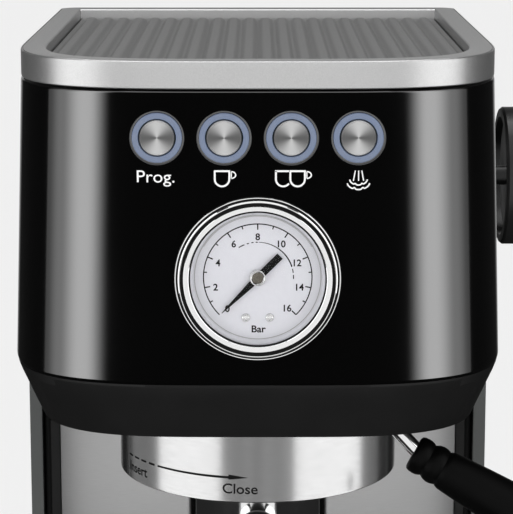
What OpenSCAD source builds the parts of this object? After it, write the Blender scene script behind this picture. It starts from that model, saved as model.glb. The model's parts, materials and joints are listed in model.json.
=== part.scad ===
// Compact espresso machine with a thermoblock, a pressure gauge and a ball-jointed steam wand.
// The origin is on the table under the middle of the body. +Z is up, -Y is the front, +X the right.

/* [Body] */
// Width across the two side panels
body_w = 207; // [204:1:210]
// Height of the cup rim above the table
body_h = 330; // [328:1:334]
// Depth from the front of the head to the back of the water tank
body_d = 315; // [313:1:320]
// Height of the gloss part of the head
gloss_h = 118.9; // [116:0.1:120]
// How much narrower each side of the head is at its top than at its seam
head_draft = 4.1; // [2:0.1:5]
// Inward slope of the matt band under the head
chamfer_in = 10.7; // [8:0.1:12]

/* [Cup shelf] */
// Height of the metal rim round the cup shelf
rim_h = 11.1; // [10:0.1:13]
// Width of the rim's flat top
rim_bar = 10.4; // [9:0.1:12]
// Number of ribs on the cup shelf
rib_count = 22; // [16:1:22]
// Spacing of the ribs
rib_pitch = 7.8; // [7.4:0.1:8]

/* [Gauge] */
// Radius of the bezel's flange
gauge_r = 33.15; // [32.6:0.05:34]
// Distance of the gauge's centre below the rim's top
gauge_drop = 87; // [84:0.5:90]
// Sweep of the needle from empty to full scale
gauge_sweep = 270; // [240:5:270]

/* [Buttons] */
// Radius of a button cap
cap_r = 7.08; // [6.9:0.02:7.2]
// Spacing of the four buttons
button_pitch = 26.5; // [25:0.5:28]
// Distance of the buttons' centres below the rim's top
button_drop = 30.3; // [29:0.1:32]
// Travel of a button
button_travel = 1.5; // [1:0.1:1.5]

/* [Group and portafilter] */
// Radius of the brushed collar
collar_r = 60.5; // [58:0.5:61]
// Drop of the collar below the head
collar_h = 30.4; // [29:0.1:31]
// Distance of the group's axis behind the front of the head
group_in = 78; // [77:0.5:79]
// Radius of the filter basket
basket_r = 28.2; // [27.8:0.1:28.2]
// Turn of the portafilter from locked to free
insert_turn = 45; // [40:1:50]

/* [Steam] */
// Radius of the steam knob
knob_r = 29; // [27:0.5:29]
// Radius of the steam wand's tube
tube_r = 3.25; // [3:0.05:3.4]
// Length of the wand's lower tube
wand_len = 105; // [95:1:105]

/* [Base] */
// Height of the base under the tower
base_h = 52; // [51:0.5:54]
// Height of a rubber foot
foot_h = 6; // [5:0.5:6]

/* [Hidden] */
$fn = 64;
eps = 0.05;

// Head: its front is flat in the middle and runs round to the sides as a superellipse
side_x = body_w / 2;
front_y = -body_d / 2;
back_y = body_d / 2;
plan_flat = 12;
plan_bend = 80;
plan_power = 3.26;
plan_steps = 22;
wall = 3;
seam_gap = 0.7;
rim_z = body_h - rim_h;
head_top = rim_z - seam_gap;
seam_z = head_top - gloss_h;
head_z = seam_z - 25;
top_x = side_x - head_draft;
rim_x = top_x - 0.1;
shelf_z = body_h - 8.8;

// Tower: two columns, a splash panel between them and a rear panel
tower_y = -53.8;
recess_y = -12;
tower_back = 92;
panel_w = 5.7;
strip_w = 2.6;
strip_x = 94.1;

// Gauge, buttons and knob
gauge_z = body_h - gauge_drop;
button_z = body_h - button_drop;
button_x = [for (i = [-1.5 : 1.5]) i * button_pitch];
hole_r = 10.9;
needle_start = -gauge_sweep / 2;
knob_y = front_y + 60;
knob_z = body_h - 55;
knob_x = side_x - 1.1;

// Group, portafilter and wand
group_y = front_y + group_in;
bayonet_r = 36.8;
lip_r = 32.8;
ear_r = 36.2;
wand_at = [51, front_y + 40, head_z + 3.7];
wand_turn = -12;
ball_r = 4.7;
neck_len = 27.4;
neck_slope = 46;
grip_slope = 27.7;

// Base, tray and tank
tray_gap = 0.5;
floor_z = foot_h + 4.5;
tray_z = floor_z + tray_gap;
grid_z = 44.2;
tray_back = recess_y - 2;
tray_x = 92;
float_at = [0, -30];
tank_y = 96;
tank_x = 92;
tank_z = base_h + 8.5;
tank_h = 235.5;
lid_z = tank_z + tank_h + 0.3;
hinge_x = tank_x - 8;
outlet_at = [40, 125];
foot_at = [[76, -120], [76, 135]];
plate_screws = [[90, 125], [90, 20]];
flow_y = 45;

// Half of the head's outline from the middle of the front to the side
function front_half(a, inset) = [
    for (i = [0 : plan_steps])
        let (t = 90 * i / plan_steps)
        [plan_flat + (a - inset - plan_flat) * pow(sin(t), 2 / plan_power),
         front_y + inset + (plan_bend - inset) * (1 - pow(cos(t), 2 / plan_power))]
];

// The right half of a closed outline, with a rear corner of radius rc at depth y1
function plan_half(a, inset, y1, rc) = concat(
    front_half(a, inset),
    rc == 0 ? [[a - inset, y1]] :
        [for (t = [0 : 15 : 90]) [a - inset - rc + rc * cos(t), y1 - rc + rc * sin(t)]]
);

// Depth of the head's front face at a distance x from the middle
function face_y(x) =
    let (a = top_x + 0.6, u = max(0, (abs(x) - plan_flat) / (a - plan_flat)))
    front_y + plan_bend * (1 - pow(1 - pow(u, plan_power), 1 / plan_power));

// Flat outline of half-width a, moved in all round by inset
module plan(a, inset = 0, y1 = tower_back, rc = 8) {
    half = plan_half(a, inset, y1, rc);
    n = len(half);
    polygon(concat(half, [for (i = [n - 1 : -1 : 0]) [-half[i].x, half[i].y]]));
}

// Thin slice of the outline at a height, for a drafted shell
module slice(z, a, inset = 0, y1 = tower_back, rc = 8) {
    translate([0, 0, z]) linear_extrude(eps) plan(a, inset, y1, rc);
}

// Box given by its two corners
module span(a, b) {
    translate(a) cube(b - a);
}

// Tube along Z
module tube(r_out, r_in, z0, z1) {
    rotate_extrude() translate([r_in, z0]) square([r_out - r_in, z1 - z0]);
}

// Round bar between two points
module bar(a, b, r) {
    v = b - a;
    translate(a) rotate([0, acos(v.z / norm(v)), atan2(v.y, v.x)]) cylinder(r = r, h = norm(v));
}

// Bars in a row, joined by a ball at each bend
module bent_bar(points, r) {
    for (i = [0 : len(points) - 2]) bar(points[i], points[i + 1], r);
    for (i = [1 : len(points) - 2]) translate(points[i]) sphere(r = 1.04 * r);
}

// Frames: local +Z points out of the front face, out of the right side, or up at the group
module at_gauge() {
    translate([0, front_y, gauge_z]) rotate([90, 0, 0]) children();
}

module at_button(i) {
    translate([button_x[i], face_y(button_x[i]), button_z]) rotate([90, 0, 0]) children();
}

module at_knob() {
    translate([knob_x, knob_y, knob_z]) rotate([0, 90, 0]) children();
}

module at_group() {
    translate([0, group_y, head_z]) children();
}

// Wand frame at the ball, local +X outwards over the wand, and the frame of its lower tube
module at_wand() {
    translate(wand_at) rotate([0, 0, wand_turn]) children();
}

module at_grip() {
    at_wand()
        translate([neck_len * cos(neck_slope), 0, -neck_len * sin(neck_slope)])
            rotate([0, 90 + grip_slope, 0]) children();
}

// On the lid's hinge axis, with local +Z to the right and local +X down
module at_lid_hinge() {
    translate([0, tank_y + 2.5, lid_z + 2.2]) rotate([0, 90, 0]) children();
}

module four(at) {
    for (p = at, s = [-1, 1]) translate([s * p.x, p.y, 0]) children();
}

// ---- base ----

// Moulded base of the tower: a box for the hoses, and two arms beside the drip tray's bay
module base_tub() {
    color("dimgray") difference() {
        span([-side_x, tower_y, foot_h], [side_x, back_y, base_h]);
        span([-tray_x - 0.6, tower_y - 1, foot_h - 1], [tray_x + 0.6, recess_y - 1.5, base_h + 1]);
        span([-side_x + wall, recess_y + wall, foot_h - 1], [side_x - wall, back_y - wall, base_h - 2.5]);
        span([-tray_x - 0.6, recess_y - 2, foot_h - 1], [tray_x + 0.6, recess_y + 4, floor_z + 0.3]);
        span([-80, 5, base_h - 5], [80, 80, base_h + 1]);
        translate([outlet_at.x, outlet_at.y, base_h - 5]) cylinder(r = 6, h = 10);
        translate([-60, back_y + 1, 28]) rotate([90, 0, 0]) cylinder(r = 7, h = 10);
        span([51, back_y - 5, 16], [69, back_y + 1, 40]);
    }
    color("dimgray") four(plate_screws) translate([0, 0, floor_z + 0.2]) tube(4, 1.6, 0, 7);
}

// Moulded floor under the drip tray and the tower
module base_plate() {
    color("gray") difference() {
        union() {
            translate([0, 0, foot_h]) linear_extrude(floor_z - foot_h) plan(side_x, 6, tower_y - 0.3, 0);
            span([-tray_x - 0.3, tower_y - 1, foot_h], [tray_x + 0.3, recess_y + wall + 1, floor_z]);
            span([-side_x + wall + 0.3, recess_y + wall + 0.3, foot_h],
                 [side_x - wall - 0.3, back_y - wall - 0.3, floor_z]);
        }
        four(plate_screws) cylinder(r = 1.6, h = 20);
        for (x = [-30 : 10 : 30]) span([x - 2, 30, 0], [x + 2, 100, 20]);
    }
}

module feet() {
    color("black") four(foot_at) difference() {
        cylinder(r = 11, h = foot_h);
        translate([0, 0, -1]) cylinder(r = 4, h = 3);
    }
}

// Screws of the base plate, one screw of the shower screen and two of the gauge's dial
module screws() {
    color("silver") four(plate_screws) {
        translate([0, 0, foot_h - 2]) cylinder(r = 3.2, h = 2);
        translate([0, 0, foot_h]) cylinder(r = 1.5, h = 10);
    }
    color("silver") at_group() {
        translate([0, 0, -17]) cylinder(r = 4, h = 1.5);
        translate([0, 0, -15.5]) cylinder(r = 1.9, h = 9);
    }
    color("gold") at_gauge() for (s = [-1, 1]) translate([s * 4.8, -16.5, -3.4])
        cylinder(r = 1.55, h = 0.7);
}

// ---- tower ----

// Folded side panel: an outer skin with its front edge turned in and back, and a rear flange
module side_panel() {
    z0 = base_h + 0.2;
    z1 = seam_z - 0.2;
    x0 = side_x - panel_w;
    color([0.29, 0.29, 0.29]) {
        span([side_x - 1.6, tower_y, z0], [side_x, tower_back, z1]);
        span([x0, tower_y, z0], [side_x - 1, tower_y + 1.6, z1]);
        span([x0, tower_y, z0], [x0 + 1.6, tower_y + 10, z1]);
        span([x0, tower_back - 1.6, z0], [side_x - 1, tower_back, z1]);
    }
}

module side_panel_right() {
    side_panel();
}

module side_panel_left() {
    mirror([1, 0, 0]) side_panel();
}

// Dark cheek inside a column, with a rounded front edge that shows as a strip
module pillar_trim() {
    z0 = base_h + 0.2;
    h = head_z - 0.2 - z0;
    r = strip_w / 2;
    color([0.12, 0.12, 0.13]) translate([0, 0, z0]) {
        translate([strip_x + r, tower_y + r, 0]) cylinder(r = r, h = h);
        translate([strip_x, tower_y + r, 0]) cube([strip_w, recess_y - tower_y - r, h]);
    }
}

module pillar_trim_right() {
    pillar_trim();
}

module pillar_trim_left() {
    mirror([1, 0, 0]) pillar_trim();
}

// Brushed panel behind the cup space, with folded flanges and the drain's hole
module splash_panel() {
    x = strip_x - 0.2;
    color("silver") difference() {
        union() {
            span([-x, recess_y, base_h + 0.2], [x, recess_y + 1, head_z - 0.2]);
            span([-x, recess_y, head_z - 1.2], [x, recess_y + 8, head_z - 0.2]);
            for (s = [0, 1]) mirror([s, 0, 0])
                span([x - 1, recess_y, base_h + 0.2], [x, recess_y + 8, head_z - 0.2]);
        }
        translate([10, recess_y + 3, 60]) rotate([90, 0, 0]) cylinder(r = 4.2, h = 6);
    }
}

module rear_panel() {
    color("dimgray") difference() {
        span([-side_x + 2, tower_back - 4, base_h + 0.2], [side_x - 2, tower_back - 2, seam_z - 0.2]);
        for (i = [0 : 9]) span([-30, tower_back - 5, 120 + 6 * i], [30, tower_back - 1, 123 + 6 * i]);
    }
}

// Folded sheet frame that carries the pump and the thermoblock
module chassis() {
    z0 = base_h + 0.2;
    z1 = head_z + 36;
    color("lightgray") difference() {
        union() {
            span([-90, -2, z0], [90, 85, z0 + 1.5]);
            span([-90, 83.5, z0], [90, 85, z1]);
            span([-60, -2, z1 - 1.5], [60, 85, z1]);
            for (x = [-70, 12]) span([x, 37, z0], [x + 8, 53, 77]);
        }
        translate([outlet_at.x, flow_y, z0 - 1]) cylinder(r = 6, h = 5);
        translate([10, 12, z0 - 1]) cylinder(r = 6, h = 5);
        span([-40, 40, z1 - 3], [40, 70, z1 + 1]);
    }
}

// ---- head ----

module head_shell() {
    color([0.02, 0.02, 0.02]) difference() {
        hull() {
            slice(seam_z, side_x);
            slice(head_top - eps, top_x);
        }
        hull() {
            slice(seam_z - 1, side_x, wall, tower_back - wall, 5);
            slice(head_top + 1, top_x, wall, tower_back - wall, 5);
        }
        for (i = [0 : 3]) at_button(i) translate([0, 0, -12]) cylinder(r = hole_r, h = 20);
        at_gauge() translate([0, 0, -12]) cylinder(r = gauge_r - 1.25, h = 20);
        at_knob() translate([0, 0, -12]) cylinder(r = 6, h = 20);
    }
}

// Matt band that slopes in under the gloss shell, and the floor over the cup space
module head_underside() {
    color([0.09, 0.09, 0.09]) difference() {
        union() {
            hull() {
                slice(seam_z - eps, side_x, 0, tower_y - 0.2, 0);
                slice(head_z, side_x, chamfer_in, tower_y - 0.2, 0);
            }
            span([-strip_x + 0.3, tower_y - 8, head_z], [strip_x - 0.3, recess_y - 0.3, head_z + wall]);
        }
        hull() {
            slice(seam_z + 1, side_x, wall, tower_y - 4, 0);
            slice(head_z + wall, side_x, chamfer_in + wall, tower_y - 4, 0);
        }
        span([-90, tower_y - 10, head_z + wall], [90, 0, seam_z + 1]);
        at_group() translate([0, 0, -1]) cylinder(r = 46, h = 10);
        translate([wand_at.x, wand_at.y, head_z - 1]) cylinder(r = 9.6, h = 10);
    }
}

// Metal rim round the cup shelf, with a ledge for the shelf and a skirt inside the shell
module top_rim() {
    color([0.75, 0.75, 0.76]) {
        difference() {
            translate([0, 0, rim_z]) linear_extrude(rim_h) plan(rim_x);
            translate([0, 0, shelf_z - 0.3]) linear_extrude(20) plan(rim_x, rim_bar, tower_back - rim_bar, 3);
            translate([0, 0, rim_z - 1]) linear_extrude(20) plan(rim_x, 17, tower_back - 17, 3);
        }
        difference() {
            translate([0, 0, rim_z - 7]) linear_extrude(7) plan(rim_x, 3.6, tower_back - 3.6, 4);
            translate([0, 0, rim_z - 8]) linear_extrude(9) plan(rim_x, 5.6, tower_back - 5.6, 3);
        }
    }
}

module cup_plate() {
    edge = rim_bar + 0.4;
    rib_w = 5;
    rib_back = tower_back - rim_bar - 5;
    color([0.45, 0.45, 0.46]) {
        translate([0, 0, shelf_z]) linear_extrude(3) plan(rim_x, edge, tower_back - edge, 3);
        for (i = [0 : rib_count - 1]) {
            x = (i - (rib_count - 1) / 2) * rib_pitch;
            y = face_y(x * 1.12) + rim_bar + 3;
            translate([x, 0, shelf_z + 2.5]) {
                translate([-rib_w / 2, y, 0]) cube([rib_w, rib_back - y, 3.3]);
                translate([0, rib_back, 0]) cylinder(r = rib_w / 2, h = 3.3);
            }
        }
    }
}

// ---- gauge ----

module gauge_case() {
    color("dimgray") at_gauge() difference() {
        translate([0, 0, -26]) cylinder(r = 29.9, h = 21.7);
        translate([0, 0, -24.6]) cylinder(r = 28.5, h = 21);
    }
}

module gauge_bezel() {
    color("silver") at_gauge() rotate_extrude() polygon([
        [31.8, -9], [31.8, 0.1], [gauge_r, 0.1], [gauge_r, 1.4], [32.2, 2.4], [29.6, 2.4],
        [27.2, 1.2], [27.2, 0.7], [30.2, 0.7], [30.2, -9]
    ]);
}

module gauge_dial() {
    color("white") at_gauge() translate([0, 0, -4.2]) difference() {
        cylinder(r = 29.9, h = 0.8);
        translate([0, 0, -1]) cylinder(r = 1.3, h = 3);
    }
}

module gauge_lens() {
    color([0.8, 0.9, 1, 0.3]) at_gauge() translate([0, 0, -0.5]) cylinder(r = 30, h = 1.1);
}

// Needle with a hub and a wide tail, turned back to the start of the scale
module gauge_needle() {
    color("black") at_gauge() {
        translate([0, 0, -3.3]) cylinder(r = 2.6, h = 2.1);
        translate([0, 0, -6]) cylinder(r = 1, h = 3);
        rotate([0, 0, -needle_start]) translate([0, 0, -2.3]) linear_extrude(0.7)
            polygon([[-0.25, 20.4], [0.25, 20.4], [1.1, 2], [1.5, 0], [1.5, -12.7], [-1.5, -12.7],
                     [-1.5, 0], [-1.1, 2]]);
    }
}

// ---- buttons ----

module button(i) {
    color("silver") at_button(i) {
        translate([0, 0, -3.2]) cylinder(r = cap_r, h = 3.6);
        translate([0, 0, -5.1]) cylinder(r = 3, h = 2.5);
    }
}

module button_prog() {
    button(0);
}

module button_single() {
    button(1);
}

module button_double() {
    button(2);
}

module button_steam() {
    button(3);
}

module light_rings() {
    color("lightsteelblue") for (i = [0 : 3]) at_button(i) tube(9.95, 7.5, -6, 0.3);
}

module trim_rings() {
    color("silver") for (i = [0 : 3]) at_button(i) tube(hole_r - 0.04, 10, -2.6, 0.6);
}

// Circuit board behind the buttons, with one tact switch for each
module switch_board() {
    color("darkgreen") {
        span([-56, front_y + 8.4, button_z - 10], [56, front_y + 10, button_z + 10.5]);
        for (x = button_x) span([x - 3, face_y(x) + 7.1, button_z - 3], [x + 3, front_y + 8.5, button_z + 3]);
    }
}

// ---- group and portafilter ----

module group_collar() {
    color("silver") at_group() rotate_extrude() polygon([
        [44.4, -collar_h], [collar_r, -collar_h], [collar_r, -0.1], [collar_r - 1.5, -0.1],
        [collar_r - 1.5, 1.5 - collar_h], [44.4, 1.5 - collar_h]
    ]);
}

// Cast group with a bayonet ring: the portafilter's ears pass two slots and turn over the lip
module group_head() {
    color("gray") at_group() difference() {
        rotate_extrude() polygon([
            [lip_r, -28.8], [44, -28.8], [44, 3.2], [50, 3.2], [50, 8.7], [30, 8.7], [12, 15.7],
            [0, 15.7], [0, -14.0], [8, -14.0], [8, -11.3], [33.7, -11.3], [33.7, -16.4],
            [bayonet_r, -16.4], [bayonet_r, -24.7], [lip_r, -24.7]
        ]);
        rotate([0, 0, -insert_turn]) span([-bayonet_r, -12, -30], [bayonet_r, 12, -24]);
        translate([0, 0, -15]) cylinder(r = 2, h = 10);
        translate([0, 0, 9]) cylinder(r = 2.1, h = 10);
    }
}

module group_gasket() {
    color("black") at_group() tube(33.5, 27, -15.9, -11.35);
}

module shower_screen() {
    color("silver") at_group() difference() {
        translate([0, 0, -15.5]) cylinder(r = 26.2, h = 1.4);
        translate([0, 0, -20]) cylinder(r = 2, h = 10);
        for (a = [0 : 30 : 330]) rotate([0, 0, a]) translate([16, 0, -20]) cylinder(r = 1, h = 10);
    }
}

// Cup with two bayonet ears and a neck for the handle
module portafilter_body() {
    color("silver") at_group() {
        difference() {
            union() {
                translate([0, 0, -62.3]) cylinder(r = 31.4, h = 45);
                rotate([90, 0, 0]) translate([0, -47, 24]) cylinder(r = 8, h = 24);
            }
            translate([0, 0, -58.3]) cylinder(r = basket_r + 0.4, h = 60);
            translate([0, 0, -70]) cylinder(r = 4, h = 20);
        }
        intersection() {
            tube(ear_r, 31, -24.1, -19.3);
            span([-40, -10.5, -30], [40, 10.5, 0]);
        }
    }
}

module portafilter_handle() {
    color("black") at_group() rotate([90, 0, 0]) translate([0, -47, 0]) {
        translate([0, 0, 48.1]) cylinder(r = 10, h = 8);
        translate([0, 0, 56]) cylinder(r1 = 10, r2 = 13, h = 84);
        translate([0, 0, 140]) sphere(r = 13);
    }
}

module portafilter_spout() {
    color("silver") at_group() {
        translate([0, 0, -71]) cylinder(r = 8, h = 8.6);
        translate([0, 0, -71]) rotate([0, 90, 0]) cylinder(r = 4, h = 28, center = true);
        for (s = [-1, 1]) translate([s * 14, 0, -84]) cylinder(r = 4.5, h = 17.5);
    }
}

module filter_basket() {
    color("silver") at_group() rotate_extrude() polygon([
        [0, -48.3], [basket_r - 1.5, -48.3], [basket_r, -40], [basket_r, -17.2], [31, -17.2],
        [31, -16.2], [basket_r - 0.6, -16.2], [basket_r - 0.6, -40], [basket_r - 2.1, -47.6], [0, -47.6]
    ]);
}

// ---- steam ----

module steam_valve() {
    color("goldenrod") at_knob() difference() {
        union() {
            span([-13, -12.5, -40.4], [13, 12.5, -16]);
            translate([0, 0, -17]) cylinder(r = 9, h = 8);
        }
        translate([0, 0, -24]) cylinder(r = 4.05, h = 20);
    }
}

// Round knob with a fluted edge and a raised grip, on its valve shaft
module steam_knob() {
    color([0.05, 0.05, 0.05]) at_knob() {
        difference() {
            rotate_extrude() polygon([
                [0, 3], [25, 3], [25, 0], [knob_r - 0.8, 0], [knob_r, 1], [knob_r, 19],
                [knob_r - 1.5, 23], [0, 23]
            ]);
            for (a = [0 : 15 : 345]) rotate([0, 0, a]) translate([knob_r + 1.5, 0, 5])
                cylinder(r = 2.2, h = 20);
        }
        span([-knob_r + 4, -5, 22.5], [knob_r - 4, 5, 29]);
        translate([0, 0, -22]) cylinder(r = 4, h = 26);
    }
}

// Swivel socket that holds the wand's ball, slotted along the wand for its tilt
module wand_socket() {
    color([0.1, 0.1, 0.1]) at_wand() difference() {
        union() {
            translate([0, 0, -3.4]) cylinder(r = 9.2, h = 13);
            translate([0, 0, -0.4]) cylinder(r = 11.4, h = 2.4);
        }
        sphere(r = ball_r + 0.1);
        rotate([90, 0, 0]) linear_extrude(2 * tube_r + 0.6, center = true)
            polygon([[-3, -3], [0, 0], [3, 2.6], [26, -19], [26, -22], [-3, -22]]);
    }
}

module wand_tube() {
    color("silver") {
        at_wand() rotate([0, 90 + neck_slope, 0]) {
            sphere(r = ball_r);
            cylinder(r = tube_r, h = neck_len);
        }
        at_grip() {
            sphere(r = 1.02 * tube_r);
            cylinder(r = tube_r, h = wand_len);
        }
    }
}

// Rubber grip: a ringed neck, a swelling barrel and a finger tab
module wand_grip() {
    color([0.07, 0.07, 0.07]) at_grip() difference() {
        union() {
            translate([0, 0, 1.5]) cylinder(r = 6.6, h = 3);
            translate([0, 0, 4.4]) cylinder(r1 = 5.6, r2 = 10.5, h = 47);
            translate([0, 0, 51.4]) cylinder(r1 = 10.5, r2 = 9, h = 2);
            span([-22, -5.5, 44], [-5, 5.5, 48]);
        }
        translate([0, 0, -1]) cylinder(r = tube_r + 0.02, h = 60);
    }
}

module wand_tip() {
    color("silver") at_grip() difference() {
        union() {
            translate([0, 0, wand_len - 6]) cylinder(r = 4.6, h = 12);
            translate([0, 0, wand_len + 6]) cylinder(r1 = 4.6, r2 = 2.4, h = 5);
        }
        translate([0, 0, wand_len - 7]) cylinder(r = tube_r + 0.02, h = 7);
        translate([0, 0, wand_len - 2]) cylinder(r = 0.8, h = 20);
    }
}

// ---- tray ----

// Outline of the tray: wide in front of the columns, narrow between them
module tray_plan(inset, side, back) {
    plan(side_x, inset, tower_y - 2.2, 0);
    translate([-side, tower_y - 3]) square([2 * side, back - tower_y + 3]);
}

module drip_tray() {
    color([0.1, 0.1, 0.1]) translate([0, 0, tray_z]) difference() {
        linear_extrude(grid_z - 0.2 - tray_z) tray_plan(5.2, tray_x, tray_back);
        translate([0, 0, 2.4]) linear_extrude(60) tray_plan(7.4, tray_x - 2.2, tray_back - 2.2);
    }
}

module tray_front() {
    color([0.1, 0.1, 0.1]) difference() {
        translate([0, 0, foot_h + 1.5]) linear_extrude(base_h - 5 - foot_h - 1.5)
            plan(side_x, 1.5, tower_y - 2.4, 0);
        linear_extrude(80) plan(side_x, 5.1, tower_y + 2, 0);
    }
}

module drip_grid() {
    slot_w = 4;
    color("silver") translate([0, 0, grid_z]) difference() {
        linear_extrude(1.5) tray_plan(5.4, tray_x - 0.4, tray_back - 0.4);
        for (i = [-7 : 7], y = [-112, -66]) if (y < -70 || abs(i) < 8)
            translate([i * 11 - slot_w / 2, y, -1]) cube([slot_w, 36, 5]);
        translate([float_at.x, float_at.y, -1]) cylinder(r = 7.4, h = 5);
    }
}

module tray_float() {
    color("red") translate([float_at.x, float_at.y, tray_z + 2.4]) {
        cylinder(r = 12, h = 7);
        translate([0, 0, 6]) cylinder(r = 6.5, h = base_h - 5 - tray_z - 8.4);
    }
}

// ---- tank ----

module tank_plan(inset) {
    r = 14;
    translate([-tank_x + inset, tank_y + inset])
        square([2 * (tank_x - inset), back_y - tank_y - r - inset]);
    translate([-tank_x + r, tank_y + inset])
        square([2 * (tank_x - r), back_y - tank_y - 2 * inset]);
    for (s = [-1, 1]) translate([s * (tank_x - r), back_y - r]) circle(r = r - inset);
}

module water_tank() {
    color([0.35, 0.38, 0.42, 0.5]) difference() {
        translate([0, 0, base_h + 0.5]) linear_extrude(tank_h + tank_z - base_h - 0.5) tank_plan(0);
        translate([0, 0, tank_z + 2.5]) linear_extrude(tank_h) tank_plan(2.4);
        difference() {
            translate([0, 0, base_h]) linear_extrude(tank_z - base_h) tank_plan(2.4);
            translate([outlet_at.x, outlet_at.y, tank_z - 3]) cylinder(r = 7.9, h = 4);
        }
        translate([outlet_at.x, outlet_at.y, tank_z - 5]) cylinder(r = 5.5, h = 10);
    }
    color([0.35, 0.38, 0.42, 0.5]) for (s = [0, 1]) mirror([s, 0, 0]) at_lid_hinge() {
        translate([0, 0, hinge_x]) cylinder(r = 2.2, h = 3);
        translate([0, 0, hinge_x - 4]) cylinder(r = 1.2, h = 5);
        translate([-0.5, -2.2, hinge_x]) cube([4, 4.4, 3]);
    }
}

// Hinged lid: a barrel along its front edge turns on the tank's two pins
module tank_lid() {
    color([0.08, 0.08, 0.08]) difference() {
        union() {
            difference() {
                translate([0, 0, lid_z]) linear_extrude(4.5) tank_plan(0);
                span([-tank_x - 1, tank_y - 1, lid_z - 1], [tank_x + 1, tank_y + 2.5, lid_z + 6]);
                for (s = [0, 1]) mirror([s, 0, 0])
                    span([hinge_x - 0.4, tank_y, lid_z - 1], [hinge_x + 3.4, tank_y + 5.8, lid_z + 6]);
            }
            at_lid_hinge() cylinder(r = 2.2, h = 2 * hinge_x - 0.8, center = true);
        }
        for (s = [0, 1]) mirror([s, 0, 0]) at_lid_hinge()
            translate([0, 0, hinge_x - 5]) cylinder(r = 1.45, h = 6);
        translate([0, back_y - 16, lid_z + 3]) cylinder(r = 11, h = 5);
    }
}

module tank_valve() {
    color("white") translate([outlet_at.x, outlet_at.y, tank_z]) {
        translate([0, 0, 2.6]) cylinder(r = 8, h = 2);
        translate([0, 0, -2.5]) cylinder(r = 2.5, h = 6);
    }
}

module tank_dock() {
    color("black") difference() {
        union() {
            span([-60, tank_y + 6, base_h], [60, back_y - 8, base_h + 4]);
            translate([outlet_at.x, outlet_at.y, base_h]) cylinder(r = 12, h = 8);
            translate([outlet_at.x, outlet_at.y, base_h - 6]) cylinder(r = 5.8, h = 7);
        }
        translate([outlet_at.x, outlet_at.y, base_h + 4]) cylinder(r = 8.5, h = 10);
        translate([outlet_at.x, outlet_at.y, base_h - 10]) cylinder(r = 2, h = 20);
    }
}

// ---- water and steam circuit ----

module flow_meter() {
    color("white") translate([outlet_at.x, flow_y, 64]) cylinder(r = 14, h = 20);
}

// Vibration pump lying across the tower: a square coil round a barrel
module pump() {
    color("gainsboro") {
        span([-50, 23, 73], [0, 67, 117]);
        bar([-75, flow_y, 95], [25, flow_y, 95], 14);
    }
}

module pump_mounts() {
    color("black") for (x = [-70, 12]) translate([x, flow_y, 95]) rotate([0, 90, 0])
        tube(18, 14.05, 0, 8);
}

module thermoblock() {
    z = head_z + 36.2;
    color("lightgray") difference() {
        union() {
            span([-50, -2, z], [50, 58, z + 40]);
            for (i = [0 : 6]) span([-48 + 15 * i, 0, z + 39], [-42 + 15 * i, 56, z + 46]);
        }
        for (s = [-1, 1]) translate([s * 30, 59, z + 14]) rotate([90, 0, 0]) cylinder(r = 4, h = 70);
    }
}

module solenoid_valve() {
    z = head_z + 30;
    color("black") span([-14, -46, z], [14, -20, z + 34]);
}

module water_hoses() {
    x = outlet_at.x;
    color("white") {
        bent_bar([[x, outlet_at.y, base_h - 6.2], [x, outlet_at.y, 28], [x, flow_y, 28], [x, flow_y, 63.9]], 4);
        bent_bar([[x, flow_y, 84.1], [x, flow_y, 95], [25.1, flow_y, 95]], 4);
        bent_bar([[10, -34, head_z + 29.9], [10, -34, head_z + 18], [10, 8, head_z + 18], [10, 8, 60],
                  [10, recess_y - 1.2, 60]], 3.5);
    }
}

module pressure_pipes() {
    z = head_z + 56;
    valve_y = knob_y;
    color("goldenrod") {
        bent_bar([[-75.1, flow_y, 95], [-84, flow_y, 95], [-84, flow_y, z], [-50.1, flow_y, z]], 2);
        bar([0, -2.1, z], [0, -19.9, z], 2);
        bent_bar([[0, -46.1, z], [0, group_y, z], [0, group_y, head_z + 15.8]], 2);
        bent_bar([[-30, -2.1, gauge_z], [-30, -100, gauge_z], [0, -100, gauge_z],
                  [0, front_y + 26.1, gauge_z]], 1.5);
        bent_bar([[50.1, 20, z], [76, 20, z], [76, 20, knob_z], [76, valve_y + 12.6, knob_z]], 2);
        bent_bar([[76, valve_y, knob_z - 13.1], [76, valve_y, head_z + 26], [wand_at.x, valve_y, head_z + 26],
                  [wand_at.x, wand_at.y, head_z + 26], [wand_at.x, wand_at.y, wand_at.z + 9.8]], 2);
    }
}

module control_board() {
    color("darkgreen") {
        span([-97, 2, 70], [-95.4, 80, 180]);
        for (i = [0 : 3]) span([-95.5, 10 + 16 * i, 80 + 20 * i], [-89, 22 + 16 * i, 94 + 20 * i]);
    }
}

// ---- mains inlet and switch ----

module cord_gland() {
    color("black") translate([-60, back_y, 28]) rotate([-90, 0, 0]) {
        translate([0, 0, -6]) tube(6.9, 3.6, 0, 6.2);
        translate([0, 0, 0.1]) tube(9, 3.6, 0, 2.4);
        translate([0, 0, 2.4]) tube(6, 3.6, 0, 7);
    }
}

module rocker_frame() {
    color("black") difference() {
        union() {
            span([51.2, back_y - 12, 16.2], [68.8, back_y + 0.5, 39.8]);
            span([49, back_y + 0.1, 14], [71, back_y + 1.8, 42]);
        }
        span([53.4, back_y - 9, 18.4], [66.6, back_y + 5, 37.6]);
    }
}

module power_rocker() {
    color("black") translate([60, back_y - 2, 28]) rotate([8, 0, 0]) rotate([0, 90, 0])
        intersection() {
            cylinder(r = 9, h = 12.6, center = true);
            span([-9, -4.5, -7], [9, 5, 7]);
        }
}

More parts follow.
